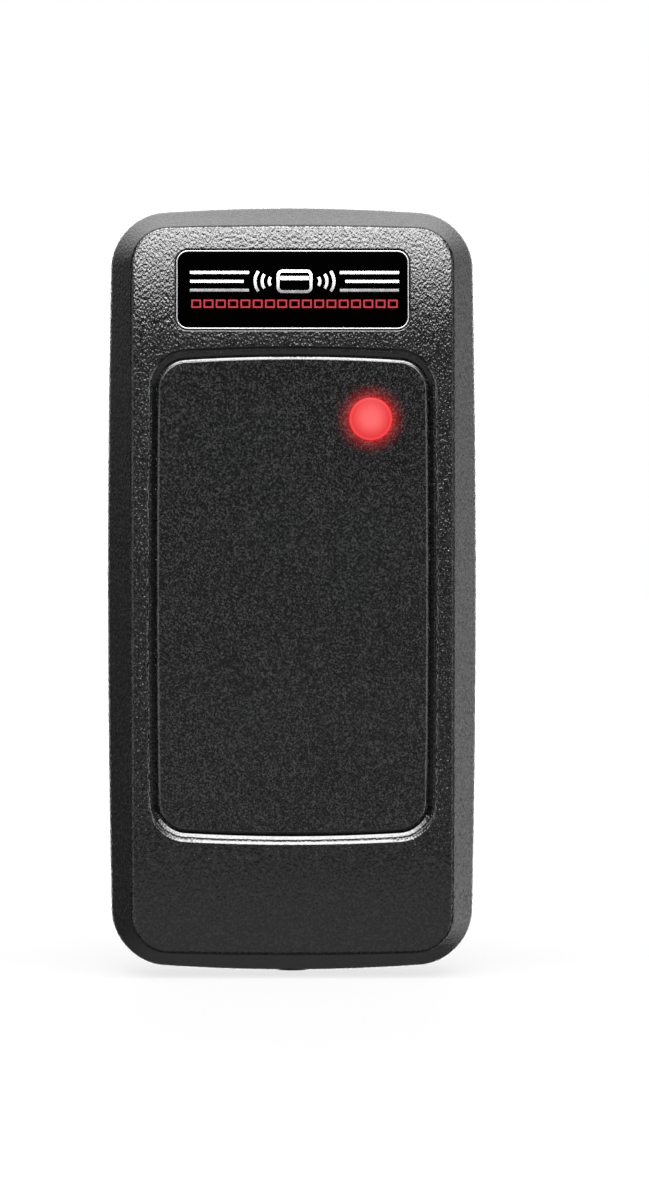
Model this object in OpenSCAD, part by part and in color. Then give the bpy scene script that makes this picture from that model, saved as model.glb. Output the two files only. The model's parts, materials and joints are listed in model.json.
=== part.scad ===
// Wall-mounted proximity card reader: a tray screwed to the wall, a circuit board with an
// antenna coil, and a front cover that swings up on a hinge bar along its top edge.
//
// Each module draws its piece lying on its back: X to the right, Y up the wall and Z out from the
// wall. on_wall() then stands it up, so that row +Z is up and the face looks along row -Y. The
// origin is the middle of the back face.

/* [Body] */
// Width of the cover at its rim
body_w = 40; // [38:0.5:44]
// Height of the cover at its rim
body_h = 82.5; // [81:0.5:90]
// Distance from the wall to the front face
body_d = 13; // [12.5:0.1:15]
// Corner radius of the cover at its rim
corner_r = 5.6; // [4:0.1:7]
// Wall thickness of the cover's sides
side_wall = 1.6; // [1.4:0.1:1.8]
// How far the front face is set in from the rim, each side
side_inset = 2.85; // [2:0.05:3.2]
// How far the front face is set in from the rim, top and bottom
end_inset = 2.8; // [2:0.05:3.2]

/* [Front] */
// Width of the card panel
panel_w = 28.9; // [26:0.1:29.2]
// Height of the card panel
panel_h = 50.8; // [48:0.1:51]
// Width of the shadow gap around the card panel
panel_gap = 0.6; // [0.4:0.05:0.6]
// Width of the badge plate
badge_w = 24.4; // [20:0.1:26]
// Height of the badge plate
badge_h = 8.1; // [6:0.1:8.5]
// Diameter of the indicator lens where it shows
lens_d = 4.5; // [3:0.1:5]

/* [Mounting] */
// Distance between the two wall screw holes
screw_spacing = 61; // [60:0.5:62]
// Diameter of each wall screw hole
screw_hole_d = 4.2; // [3.5:0.1:4.5]
// Diameter of the cable outlet
cable_hole_d = 6; // [5:0.1:6.5]

/* [Hidden] */
$fn = 48;
eps = 0.01;

// Bowed outline that the cover and the tray share
side_bow = 0.52;          // how much narrower the outline is at its ends
end_bow = 0.95;           // how much shorter it is at its sides
arc_steps = 12;           // steps round each corner
run_steps = 8;            // steps along each side

// Cover, as distances from the wall
cover_lift = 0.3;         // the cover's rim stays this far off the wall
slope_start = 4.5;        // the sides lean in from here to the front
front_wall = 2.2;
crown_start = 26;         // the face is flat up to here, then curves back to its ends
crown_r = 60;
face_corner_r = 3.8;
face_side_bow = 0.05;
face_end_bow = 0.3;
side_blend = 1.6;         // rounding where the sides start to lean
face_blend = 0.55;        // rounding where they meet the face

// Panel, badge and lens
panel_mid = -0.5;
panel_corner_r = 2.8;
panel_t = 1.4;
panel_side_bow = 0.2;
panel_end_bow = 0.55;
panel_edge = 0.28;        // chamfer round the panel's front
gap_floor = 0.25;         // width of the shadow gap at its floor
step_w = 0.5;             // the shallow step outside the shadow gap
step_ledge = 0.3;
step_t = 0.25;
badge_mid = 32;
badge_corner_r = 1.1;
badge_t = 0.6;
badge_gap = 0.25;
badge_tilt = asin((badge_mid - crown_start) / crown_r);
badge_front = crown(badge_mid, body_d) - pow(badge_h / 2, 2) / (2 * crown_r) - 0.05;
lens_x = 8.3;
lens_y = 18.3;
lens_flange_r = 3.2;
lens_flange_t = 1;
lens_proud = 0.25;
lens_collar_t = 0.6;

// Hinge bar along the cover's top edge, and the tray's sockets that hold it
hinge_y = 40.25;
hinge_z = 1.1;
hinge_bar_r = 0.55;
hinge_socket_r = 0.62;
hinge_edge_r = 1;         // the cover's top rear edge is round about the hinge axis
hinge_x = 9;
finger_w = 4.4;
finger_d = 2.7;
notch_w = 5;
notch_d = 3.1;

// Tray
tray_gap = 0.3;
tray_w = body_w - 2 * side_wall - 2 * tray_gap;
tray_h = 77.4;
tray_corner_r = 3.8;
floor_t = 1.8;
rim_t = 1.4;
rim_top = 4.4;
dam_y = 26.4;             // inner face of the walls that close the board's bay
dam_t = 1.2;
pad_r = 4;
pad_t = 0.5;
cable_y = -18.5;
cable_collar_t = 1.1;
label_w = 24;             // shallow pocket in the back for a label
label_h = 14;
label_r = 1;
label_y = 15;
label_pocket_t = 0.25;

// Screw that holds the cover's bottom edge, drawn backed off by a hair so that the cover can swing
cover_screw_z = 2.7;
cover_screw_r = 1.1;
cover_screw_head_r = 2;
cover_screw_head_t = 1.05;
cover_screw_pocket = 1.2;
cover_screw_slack = 0.1;
cover_screw_side = 0.3;   // room beside the screw in its slot and pocket
cover_screw_pad = 0.55;   // thickening of the bottom wall inside, behind the screw's head
boss_w = 6.4;
boss_top = 5;
boss_end = -34.3;

// Board
board_w = 32.4;
board_h = 51.6;
board_t = 1;
board_z = 3.4;            // back of the board
board_top = board_z + board_t;
board_screw_at = [[-10.8, 20.4], [11, -20.6]];
board_post_at = [[11.2, 22.6], [-11.2, -22.6]];
post_r = 2.2;
pilot_r = 0.85;
cable_slot = [8, 6];

// Antenna coil, a flat winding that stands on the board
coil_w = 31;
coil_h = 50;
coil_corner_r = 4;
coil_band = 2.2;
coil_t = 1.6;
coil_lead_y = [-2.2, -3.8];
coil_lead_r = 0.15;
coil_lead_run = 1.6;

// Parts on the board, as [x, y] of their middles
micro_at = [4.6, 1.6];
micro_size = [7.5, 12.8, 2.3];
micro_pins = 10;
chip_at = [-8, -1.4];
chip_size = [3.9, 9.9, 1.5];
chip_pins = 8;
pin_pitch = 1.27;
regulator_at = [-8.8, -11.2];
regulator_size = [6.5, 3.5, 1.6];
crystal_at = [7.2, 12];
crystal_size = [11.4, 4.7, 3.5];
can_at = [-9.4, -18.2];
can_r = 2.5;
can_t = 4.6;
can_base = [5.3, 5.3, 0.8];
buzzer_at = [-5.5, 13];
buzzer_r = 6;
buzzer_t = 4.2;
buzzer_wall = 0.6;
header_at = [2.4, -12.2];
header_size = [13.5, 4.6, 3.6];
header_ways = 8;
header_pitch = 1.5;
led_size = [3.2, 2.8, 1.9];
sensor_at = [5, -4.6];
sensor_size = [3.6, 3, 1.2];
sensor_window_r = 2.4;
capacitor_at = [[-8, 5.4, 0], [-11.6, -7.1, 0], [-2.4, -6.4, 0], [11.4, 3.4, 90], [12, 19.4, 90],
                [-5.2, 21, 0]];
capacitor_size = [3.2, 1.6, 1.1];
resistor_at = [[-2.6, 5.2, 90], [-2.6, 2.4, 90], [-2.6, -0.4, 90], [-2.6, -3.2, 90],
               [11.4, -1, 90], [3.2, 16.9, 0], [3.2, 19.1, 0], [5.2, -20.8, 0], [-4.9, -8, 90]];
resistor_size = [2, 1.25, 0.55];
terminal_share = 0.2;
diode_at = [[11.6, -13.6, 90], [11.6, -7.4, 90]];
diode_size = [4.3, 2.6, 2.1];
header_pin_w = 0.5;
header_leg_y = 1.9;       // behind the header's middle
pin_hole_r = 0.38;        // holes through the board
joint_r = 0.6;
joint_t = 0.7;
header_pins_at = [for (i = [0:header_ways - 1])
    header_at + [(i - (header_ways - 1) / 2) * header_pitch, header_leg_y]];
buzzer_pins_at = [for (s = [-1, 1]) buzzer_at + [0, s * 3.8]];
crystal_pins_at = [for (s = [-1, 1]) crystal_at + [s * 2.44, 0]];
all_pins_at = concat(header_pins_at, buzzer_pins_at, crystal_pins_at);

// ---- shared shapes ----

// Stands a piece up from lying on its back.
module on_wall() {
    rotate([90, 0, 0]) children();
}

// Distance from the wall of a face that is flat in the middle and curves back to its ends.
function crown(y, top) = top - pow(max(0, abs(y) - crown_start), 2) / (2 * crown_r);

// Corner number i of a rectangle, anticlockwise from the top right.
function corner_sign(i) = [[1, 1], [-1, 1], [-1, -1], [1, -1]][i % 4];

function corner_arc(w, h, r, i) = [
    for (k = [0:arc_steps])
        let (s = corner_sign(i), a = 90 * (i + k / arc_steps))
            [s.x * (w / 2 - r) + r * cos(a), s.y * (h / 2 - r) + r * sin(a)]
];

function run_between(a, b) = [for (k = [1:run_steps - 1]) a + (b - a) * k / run_steps];

// A rounded rectangle whose four sides bow outwards.
function outline(w, h, r, side = side_bow, end = end_bow) =
    let (square_points = [
        for (i = [0:3])
            let (arc = corner_arc(w, h, r, i), next = corner_arc(w, h, r, i + 1))
                each concat(arc, run_between(arc[arc_steps], next[0]))
    ])
        [for (p = square_points) [
            p.x - sign(p.x) * side * pow(2 * p.y / h, 2),
            p.y - sign(p.y) * end * pow(2 * p.x / w, 2)
        ]];

// The bowed outline as a flat slab between two distances from the wall.
module slab(w, h, r, z0, z1, side = side_bow, end = end_bow) {
    translate([0, 0, z0])
        linear_extrude(z1 - z0)
            polygon(outline(w, h, r, side, end));
}

function mix(a, b, share) = a + (b - a) * share;

// A slice of the cover. share is 0 at the rim and 1 at the face, and shrink moves it inwards.
module cover_slice(share, z0, z1, shrink = 0) {
    slab(body_w - 2 * side_inset * share - 2 * shrink, body_h - 2 * end_inset * share - 2 * shrink,
         mix(corner_r, face_corner_r, share) - shrink, z0, z1,
         mix(side_bow, face_side_bow, share), mix(end_bow, face_end_bow, share));
}

// A rounded rectangle with true arcs at its corners.
module rounded(w, h, r) {
    square([w - 2 * r, h], center = true);
    square([w, h - 2 * r], center = true);
    for (x = [-1, 1], y = [-1, 1])
        translate([x * (w / 2 - r), y * (h / 2 - r)]) circle(r);
}

// Everything behind a crowned face at the given distance from the wall.
module behind_crown(top) {
    half = body_h;
    steps = 12;
    end_run = (body_h / 2 - crown_start) / steps;
    front = [for (s = [1, -1], k = [0:steps])
        let (i = s > 0 ? steps - k : k, y = s * (crown_start + i * end_run)) [y, crown(y, top)]];
    rotate([90, 0, 90])
        translate([0, 0, -body_w])
            linear_extrude(2 * body_w)
                polygon(concat([[-half, -1], [half, -1], [half, front[0].y]], front,
                               [[-half, front[0].y]]));
}

// A cylinder along X.
module along_x(r, length) {
    rotate([0, 90, 0]) cylinder(r = r, h = length, center = true);
}

module at_hinge() {
    translate([0, hinge_y, hinge_z]) children();
}

module both_hinges() {
    for (s = [-1, 1]) translate([s * hinge_x, 0, 0]) children();
}

// Puts children at each [x, y] or [x, y, turn] of a list.
module at_each(places) {
    for (p = places) translate([p.x, p.y, 0]) rotate(len(p) > 2 ? p.z : 0) children();
}

module box_on(size, z) {
    translate([-size.x / 2, -size.y / 2, z]) cube(size);
}

// ---- cover ----

// How far in the leaning side is at a distance from the wall, from 0 at the rim to 1 at the face.
function lean(z) = (z - slope_start) / (body_d - slope_start);

// Point at share t on a curve from a to c that b pulls towards itself.
function curve(a, b, c, t) = mix(mix(a, b, t), mix(b, c, t), t);

module cover_outside() {
    blend_steps = 4;
    start = [0, slope_start - side_blend];
    leaning = [lean(slope_start + side_blend), slope_start + side_blend];
    near_face = [lean(body_d - face_blend), body_d - face_blend];
    face = [1 + face_blend / side_inset, body_d - eps];
    intersection() {
        hull() {
            cover_slice(0, cover_lift, start.y);
            for (t = [1:blend_steps]) {
                low = curve(start, [0, slope_start], leaning, t / blend_steps);
                high = curve(near_face, [1, body_d - eps], face, t / blend_steps);
                cover_slice(low.x, low.y, low.y + eps);
                cover_slice(high.x, high.y, high.y + eps);
            }
        }
        behind_crown(body_d);
    }
}

module cover_inside() {
    inner_z = body_d - front_wall;
    intersection() {
        hull() {
            cover_slice(0, -1, slope_start, side_wall);
            cover_slice(lean(inner_z), inner_z - eps, inner_z, side_wall);
        }
        behind_crown(inner_z);
    }
}

module panel_outline(grow, z0, z1) {
    slab(panel_w + 2 * grow, panel_h + 2 * grow, panel_corner_r + grow, z0, z1,
         panel_side_bow, panel_end_bow);
}

// The card panel's pocket: a shadow gap with leaning sides, and a shallow step round its mouth.
module panel_pocket() {
    ledge = body_d - step_t;
    translate([0, panel_mid, 0]) {
        hull() {
            panel_outline(gap_floor, body_d - panel_t, body_d - panel_t + eps);
            panel_outline(panel_gap, ledge, ledge + eps);
        }
        hull() {
            panel_outline(panel_gap + step_ledge, ledge, ledge + eps);
            panel_outline(panel_gap + step_w, body_d, body_d + eps);
            panel_outline(panel_gap + step_w, body_d + 1, body_d + 1 + eps);
        }
    }
}

module badge_frame(front) {
    translate([0, badge_mid, front]) rotate([-badge_tilt, 0, 0]) children();
}

module badge_pocket() {
    badge_frame(badge_front - badge_t)
        linear_extrude(3)
            rounded(badge_w + 2 * badge_gap, badge_h + 2 * badge_gap, badge_corner_r + badge_gap);
}

// Rounds the top rear edge about the hinge axis, so that the cover can swing up past the wall.
module hinge_relief() {
    difference() {
        translate([-body_w / 2, hinge_y - hinge_edge_r, -1])
            cube([body_w, 2 * hinge_edge_r + 1, hinge_z + 1]);
        at_hinge() along_x(hinge_edge_r, 2 * body_w);
    }
}

module hinge_notches() {
    both_hinges()
        translate([-notch_w / 2, hinge_y - 2, -1])
            cube([notch_w, 4, notch_d + 1]);
}

// A shape round the cover screw's axis that runs on to the rear, between two heights.
module open_to_rear(r, y0, y1, rear = -1) {
    translate([0, y0, cover_screw_z])
        rotate([-90, 0, 0]) cylinder(r = r, h = y1 - y0);
    translate([-r, y0, rear]) cube([2 * r, y1 - y0, cover_screw_z - rear]);
}

// Slot through the bottom wall, open to the rear, with a pocket for the screw's head.
module cover_screw_slot() {
    bottom = -body_h / 2;
    open_to_rear(cover_screw_r + cover_screw_side, bottom - 1, bottom + side_wall + 2);
    open_to_rear(cover_screw_head_r + cover_screw_side, bottom - 1, bottom + cover_screw_pocket);
}

module cover_screw_pad() {
    inner = -body_h / 2 + side_wall;
    open_to_rear(cover_screw_head_r + 0.8, inner - 0.2, inner + cover_screw_pad, cover_lift);
}

module lens_holes() {
    translate([lens_x, lens_y, 0]) {
        cylinder(r = lens_d / 2 + 0.05, h = body_d + 1);
        cylinder(r = lens_flange_r + 0.1, h = body_d - front_wall);
    }
}

module front_cover() {
    inner_z = body_d - front_wall;
    color([0.17, 0.17, 0.175]) on_wall() {
        difference() {
            union() {
                difference() {
                    cover_outside();
                    cover_inside();
                }
                // Collar that holds the lens's flange
                translate([lens_x, lens_y, inner_z - lens_flange_t])
                    cylinder(r = lens_flange_r + 0.1 + lens_collar_t, h = lens_flange_t + eps);
                cover_screw_pad();
            }
            panel_pocket();
            badge_pocket();
            hinge_relief();
            hinge_notches();
            cover_screw_slot();
            lens_holes();
        }
        at_hinge() both_hinges() along_x(hinge_bar_r, notch_w + 0.8);
    }
}

module front_panel() {
    color([0.16, 0.16, 0.165]) on_wall()
        difference() {
            translate([0, panel_mid, 0])
                hull() {
                    panel_outline(0, body_d - panel_t, body_d - panel_edge);
                    panel_outline(-panel_edge, body_d - eps, body_d);
                }
            translate([lens_x, lens_y, 0]) cylinder(r = lens_d / 2 + 0.05, h = body_d + 1);
        }
}

module badge_plate() {
    color([0.02, 0.02, 0.02]) on_wall()
        badge_frame(badge_front - badge_t)
            linear_extrude(badge_t) rounded(badge_w, badge_h, badge_corner_r);
}

// Light pipe: a stem over the LED, a flange behind the front wall and a slightly domed head.
module indicator_lens() {
    r = lens_d / 2;
    back = board_top + led_size.z + 0.5;
    flange = body_d - front_wall - lens_flange_t;
    dome_r = (r * r + lens_proud * lens_proud) / (2 * lens_proud);
    dome_a = asin(r / dome_r);
    dome = [for (k = [0:8])
        let (a = dome_a * (1 - k / 8)) [dome_r * sin(a), body_d + lens_proud - dome_r * (1 - cos(a))]];
    color([0.9, 0.05, 0.05]) on_wall()
        translate([lens_x, lens_y, 0])
            rotate_extrude()
                polygon(concat([[0, back], [r, back], [r, flange], [lens_flange_r, flange],
                                [lens_flange_r, flange + lens_flange_t], [r, flange + lens_flange_t]],
                               dome));
}

// ---- tray ----

module tray_bay() {
    slab(tray_w - 2 * rim_t, tray_h - 2 * rim_t, tray_corner_r - rim_t, floor_t, body_d);
}

module screw_boss() {
    translate([-boss_w / 2, -tray_h / 2 + 0.3, 0])
        cube([boss_w, boss_end + tray_h / 2 - 0.3, boss_top]);
}

module hinge_fingers() {
    both_hinges()
        translate([-finger_w / 2, tray_h / 2 - rim_t, 0])
            cube([finger_w, hinge_y + 0.05 - tray_h / 2 + rim_t, finger_d]);
}

module base_tray() {
    color([0.11, 0.11, 0.115]) on_wall()
        difference() {
            union() {
                difference() {
                    slab(tray_w, tray_h, tray_corner_r, 0, rim_top);
                    tray_bay();
                }
                intersection() {
                    slab(tray_w, tray_h, tray_corner_r, 0, rim_top);
                    for (s = [-1, 1])
                        translate([-tray_w / 2, s * (dam_y + dam_t / 2) - dam_t / 2, floor_t - eps])
                            cube([tray_w, dam_t, rim_top - floor_t + eps]);
                }
                screw_boss();
                hinge_fingers();
                for (s = [-1, 1])
                    translate([0, s * screw_spacing / 2, 0])
                        cylinder(r = pad_r, h = floor_t + pad_t);
                at_each(board_screw_at) cylinder(r = post_r, h = board_z);
                at_each(board_post_at) cylinder(r = post_r - 0.7, h = board_z);
                translate([0, cable_y, 0])
                    cylinder(r = cable_hole_d / 2 + 1, h = floor_t + cable_collar_t);
            }
            for (s = [-1, 1])
                translate([0, s * screw_spacing / 2, -1]) cylinder(d = screw_hole_d, h = 5);
            translate([0, cable_y, -1]) cylinder(d = cable_hole_d, h = 6);
            at_each(board_screw_at) translate([0, 0, 0.5]) cylinder(r = pilot_r, h = 5);
            translate([0, boss_end + 1, cover_screw_z])
                rotate([90, 0, 0]) cylinder(r = cover_screw_r + 0.05, h = 10);
            at_hinge() along_x(hinge_socket_r, body_w);
            at_each([sensor_at]) {
                translate([0, 0, -1]) cylinder(r = sensor_window_r - 0.6, h = 5);
                translate([0, 0, floor_t - 0.8]) cylinder(r = sensor_window_r, h = 5);
            }
            translate([0, label_y, -1])
                linear_extrude(1 + label_pocket_t) rounded(label_w, label_h, label_r);
        }
}

// Resin that fills the board's bay from the tray's floor to the back of the board.
module potting_resin() {
    color([0.05, 0.05, 0.055]) on_wall()
        difference() {
            intersection() {
                tray_bay();
                translate([-tray_w / 2, -dam_y, floor_t])
                    cube([tray_w, 2 * dam_y, board_z - floor_t]);
            }
            at_each(board_screw_at) cylinder(r = post_r, h = body_d);
            at_each(board_post_at) cylinder(r = post_r - 0.7, h = body_d);
            translate([0, cable_y, 0]) cylinder(r = cable_hole_d / 2 + 1, h = body_d);
            at_each([sensor_at]) box_on([6, 6, 5], floor_t - 1);
            at_each(all_pins_at) cylinder(r = joint_r, h = body_d);
        }
}

module tamper_window() {
    color([0.8, 0.85, 0.9, 0.5]) on_wall()
        at_each([sensor_at])
            translate([0, 0, floor_t - 0.8]) cylinder(r = sensor_window_r, h = 0.8);
}

module six_lobe(r) {
    polygon([for (a = [0:10:350]) r * (1 + 0.14 * cos(6 * a)) * [cos(a), sin(a)]]);
}

// Screw up into the tray, with a six-lobe socket and a centre pin.
module cover_screw() {
    seat = -body_h / 2 + cover_screw_pocket - cover_screw_slack;
    length = 5.8;
    thread_pitch = 0.8;
    thread_depth = 0.18;
    thread_start = 1.6;
    turns = floor((length - thread_start) / thread_pitch) - 1;
    core_r = cover_screw_r - thread_depth;
    socket_t = 0.7;
    color([0.55, 0.55, 0.57]) on_wall()
        translate([0, seat, cover_screw_z]) rotate([-90, 0, 0]) {
            difference() {
                translate([0, 0, -cover_screw_head_t])
                    cylinder(r = cover_screw_head_r, h = cover_screw_head_t);
                translate([0, 0, -cover_screw_head_t - 1]) linear_extrude(1 + socket_t) six_lobe(1);
            }
            translate([0, 0, -cover_screw_head_t]) cylinder(r = 0.3, h = cover_screw_head_t);
            rotate_extrude()
                polygon(concat(
                    [[0, 0], [cover_screw_r, 0], [cover_screw_r, thread_start]],
                    [for (k = [0:turns - 1]) each [
                        [core_r, thread_start + (k + 0.5) * thread_pitch],
                        [cover_screw_r, thread_start + (k + 1) * thread_pitch]
                    ]],
                    [[core_r, length - 0.6], [0.3, length], [0, length]]
                ));
        }
}

// ---- board ----

module circuit_board() {
    color([0.05, 0.3, 0.14]) on_wall()
        difference() {
            translate([0, 0, board_z]) linear_extrude(board_t) rounded(board_w, board_h, 2);
            at_each(board_screw_at) cylinder(r = 1.15, h = body_d);
            at_each(all_pins_at) cylinder(r = pin_hole_r, h = body_d, $fn = 24);
            translate([0, cable_y, 0]) linear_extrude(body_d) rounded(cable_slot.x, cable_slot.y, 2);
        }
}

module antenna_coil() {
    color([0.72, 0.36, 0.16]) on_wall()
        translate([0, 0, board_top])
            linear_extrude(coil_t)
                difference() {
                    rounded(coil_w, coil_h, coil_corner_r);
                    rounded(coil_w - 2 * coil_band, coil_h - 2 * coil_band,
                            coil_corner_r - coil_band);
                }
}

// The coil's two ends, laid on the board and soldered to a pad each.
module coil_leads() {
    color([0.8, 0.42, 0.2]) on_wall()
        for (y = coil_lead_y)
            translate([-coil_w / 2 + coil_band, y, board_top + coil_lead_r]) {
                rotate([0, 90, 0]) cylinder(r = coil_lead_r, h = coil_lead_run, $fn = 24);
                translate([coil_lead_run, 0, -coil_lead_r]) cylinder(r1 = 0.6, r2 = 0.35, h = 0.35);
            }
}

// A moulded chip body with its two long sides tapering to a parting line.
module chip_body(size, lift, dimple_r) {
    taper = 0.12;
    x = size.x / 2;
    difference() {
        translate([0, size.y / 2, board_top + lift])
            rotate([90, 0, 0])
                linear_extrude(size.y)
                    polygon([[-x + taper, 0], [x - taper, 0], [x, size.z / 2],
                             [x - taper, size.z], [-x + taper, size.z], [-x, size.z / 2]]);
        translate([-x + 2 * dimple_r, size.y / 2 - 2 * dimple_r, board_top + lift + size.z - 0.1])
            cylinder(r = dimple_r, h = 1, $fn = 24);
    }
}

// One gull-wing lead, reaching right from a body whose half width is x.
module gull_wing(x, rise, reach, width) {
    t = 0.2;
    translate([x, width / 2, board_top])
        rotate([90, 0, 0])
            linear_extrude(width)
                polygon([[0, rise], [reach * 0.35, rise], [reach * 0.45, t], [reach, t], [reach, 0],
                         [reach * 0.35, 0], [reach * 0.25, rise - t], [0, rise - t]]);
}

module two_rows(x, pins, rise, reach) {
    for (turn = [0, 180], i = [0:pins - 1])
        rotate(turn)
            translate([0, (i - (pins - 1) / 2) * pin_pitch, 0]) gull_wing(x, rise, reach, 0.42);
}

module microcontroller() {
    color([0.07, 0.07, 0.075]) on_wall() at_each([micro_at]) chip_body(micro_size, 0.15, 0.5);
}

module microcontroller_leads() {
    color([0.75, 0.75, 0.76]) on_wall()
        at_each([micro_at]) two_rows(micro_size.x / 2, micro_pins, 1.4, 1.4);
}

module reader_chip() {
    color([0.07, 0.07, 0.075]) on_wall() at_each([chip_at]) chip_body(chip_size, 0.15, 0.35);
}

module reader_chip_leads() {
    color([0.75, 0.75, 0.76]) on_wall()
        at_each([chip_at]) two_rows(chip_size.x / 2, chip_pins, 1, 1.05);
}

module voltage_regulator() {
    color([0.07, 0.07, 0.075]) on_wall() at_each([regulator_at]) box_on(regulator_size, board_top + 0.1);
}

// Three narrow leads on one long side and the wide heat tab on the other.
module regulator_leads() {
    y = regulator_size.y / 2;
    color([0.75, 0.75, 0.76]) on_wall()
        at_each([regulator_at]) {
            for (x = [-2.3, 0, 2.3])
                translate([x, 0, 0]) rotate(-90) gull_wing(y, 0.9, 1.5, 0.7);
            rotate(90) gull_wing(y, 0.9, 1.5, 2.6);
        }
}

module clock_crystal() {
    lid_inset = 0.4;
    color([0.78, 0.78, 0.79]) on_wall()
        at_each([crystal_at]) {
            translate([0, 0, board_top]) linear_extrude(0.5)
                rounded(crystal_size.x, crystal_size.y, crystal_size.y / 2 - eps);
            translate([0, 0, board_top + 0.5]) linear_extrude(crystal_size.z - 0.5)
                rounded(crystal_size.x - 2 * lid_inset, crystal_size.y - 2 * lid_inset,
                        crystal_size.y / 2 - lid_inset - eps);
        }
}

// Two round pins from inside a part, through the board to their joints.
module round_pins(places, top) {
    color([0.8, 0.8, 0.8]) on_wall()
        at_each(places)
            translate([0, 0, board_z - joint_t]) cylinder(r = 0.3, h = top - board_z + joint_t);
}

module crystal_pins() {
    round_pins(crystal_pins_at, board_top);
}

module filter_capacitor() {
    color([0.8, 0.8, 0.82]) on_wall()
        at_each([can_at]) translate([0, 0, board_top + can_base.z]) {
            groove = 0.15;
            rotate_extrude()
                polygon([[0, 0], [can_r, 0], [can_r, 0.5], [can_r - groove, 0.7],
                         [can_r - groove, 0.9], [can_r, 1.1], [can_r, can_t - 0.3],
                         [can_r - 0.3, can_t], [0, can_t]]);
        }
}

module filter_capacitor_base() {
    c = can_base.x / 2;
    cut = 1.2;
    color([0.06, 0.06, 0.06]) on_wall()
        at_each([can_at]) translate([0, 0, board_top]) linear_extrude(can_base.z)
            polygon([[-c, -c], [c, -c], [c, c - cut], [c - cut, c], [cut - c, c], [-c, c - cut]]);
}

// The middle of a chip part, between its two end terminals.
module chip_middle(size) {
    box_on([size.x * (1 - 2 * terminal_share), size.y, size.z], board_top);
}

module chip_ends(size) {
    run = size.x * terminal_share;
    for (s = [-1, 1])
        translate([s * (size.x - run) / 2, 0, 0]) box_on([run, size.y, size.z], board_top);
}

module ceramic_capacitors() {
    color([0.62, 0.5, 0.36]) on_wall() at_each(capacitor_at) chip_middle(capacitor_size);
}

module chip_resistors() {
    color([0.06, 0.06, 0.07]) on_wall() at_each(resistor_at) chip_middle(resistor_size);
}

module chip_terminals() {
    color([0.8, 0.8, 0.8]) on_wall() {
        at_each(capacitor_at) chip_ends(capacitor_size);
        at_each(resistor_at) chip_ends(resistor_size);
    }
}

module protection_diodes() {
    color([0.08, 0.08, 0.085]) on_wall()
        at_each(diode_at) box_on(diode_size, board_top + 0.05);
}

module diode_terminals() {
    color([0.75, 0.75, 0.76]) on_wall()
        at_each(diode_at)
            for (turn = [0, 180]) rotate(turn) gull_wing(diode_size.x / 2, 1.1, 0.7, 1.4);
}

module buzzer_case() {
    color([0.06, 0.06, 0.06]) on_wall()
        at_each([buzzer_at]) difference() {
            translate([0, 0, board_top]) cylinder(r = buzzer_r, h = buzzer_t);
            translate([0, 0, board_top - 1])
                cylinder(r = buzzer_r - buzzer_wall, h = 1 + buzzer_t - buzzer_wall);
            cylinder(r = 1, h = body_d);
        }
}

module buzzer_pins() {
    round_pins(buzzer_pins_at, board_top + 2.2);
}

module buzzer_disc() {
    color([0.8, 0.65, 0.3]) on_wall()
        at_each([buzzer_at])
            translate([0, 0, board_top + buzzer_t - buzzer_wall - 0.8])
                cylinder(r = buzzer_r - buzzer_wall, h = 0.3);
}

// Side-entry header, with its mouth towards the cable slot.
module header_housing() {
    wall = 0.6;
    back_wall = 1;
    key_w = 1.6;
    w = header_size.x;
    l = header_size.y;
    t = header_size.z;
    color([0.86, 0.84, 0.78]) on_wall()
        difference() {
            at_each([header_at]) difference() {
                box_on(header_size, board_top);
                translate([-w / 2 + wall, -l / 2 - 1, board_top + wall])
                    cube([w - 2 * wall, l + 1 - back_wall, t - 2 * wall]);
                for (s = [-1, 1])
                    translate([s * w / 3 - key_w / 2, -l / 2 - 1, board_top + t - wall - 1])
                        cube([key_w, 2.6, 3]);
            }
            header_pin_shapes();
        }
}

// Square pins that bend down at the back of the housing and go through the board.
module header_pin_shapes() {
    pin_z = board_top + header_size.z / 2;
    half = header_pin_w / 2;
    front = header_size.y / 2 + header_leg_y - 0.8;
    at_each(header_pins_at) {
        translate([-half, -front, pin_z - half]) cube([header_pin_w, front + half, header_pin_w]);
        translate([-half, -half, board_z - joint_t])
            cube([header_pin_w, header_pin_w, pin_z - board_z + joint_t]);
    }
}

module header_pins() {
    color([0.85, 0.75, 0.45]) on_wall() header_pin_shapes();
}

module status_led() {
    color([0.92, 0.92, 0.9]) on_wall()
        translate([lens_x, lens_y, 0]) difference() {
            box_on(led_size, board_top);
            translate([0, 0, board_top + led_size.z - 0.7]) cylinder(r1 = 0.9, r2 = 1.2, h = 0.7 + eps);
        }
}

module led_emitter() {
    color([1, 0.3, 0.25]) on_wall()
        translate([lens_x, lens_y, board_top + led_size.z - 0.7])
            cylinder(r1 = 0.9, r2 = 1.16, h = 0.65);
}

module led_terminals() {
    color([0.8, 0.8, 0.8]) on_wall()
        translate([lens_x, lens_y, 0])
            for (s = [-1, 1], y = [-0.8, 0.8])
                translate([s * (led_size.x / 2 + 0.15), y, 0]) box_on([0.3, 0.7, 0.9], board_top);
}

// Cones of solder round the pins, behind the board.
module solder_joints() {
    color([0.78, 0.78, 0.8]) on_wall()
        at_each(all_pins_at) difference() {
            translate([0, 0, board_z - joint_t + 0.1])
                cylinder(r1 = pin_hole_r + 0.05, r2 = joint_r, h = joint_t - 0.1, $fn = 24);
            cylinder(r = pin_hole_r, h = board_z, $fn = 24);
        }
}

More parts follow.
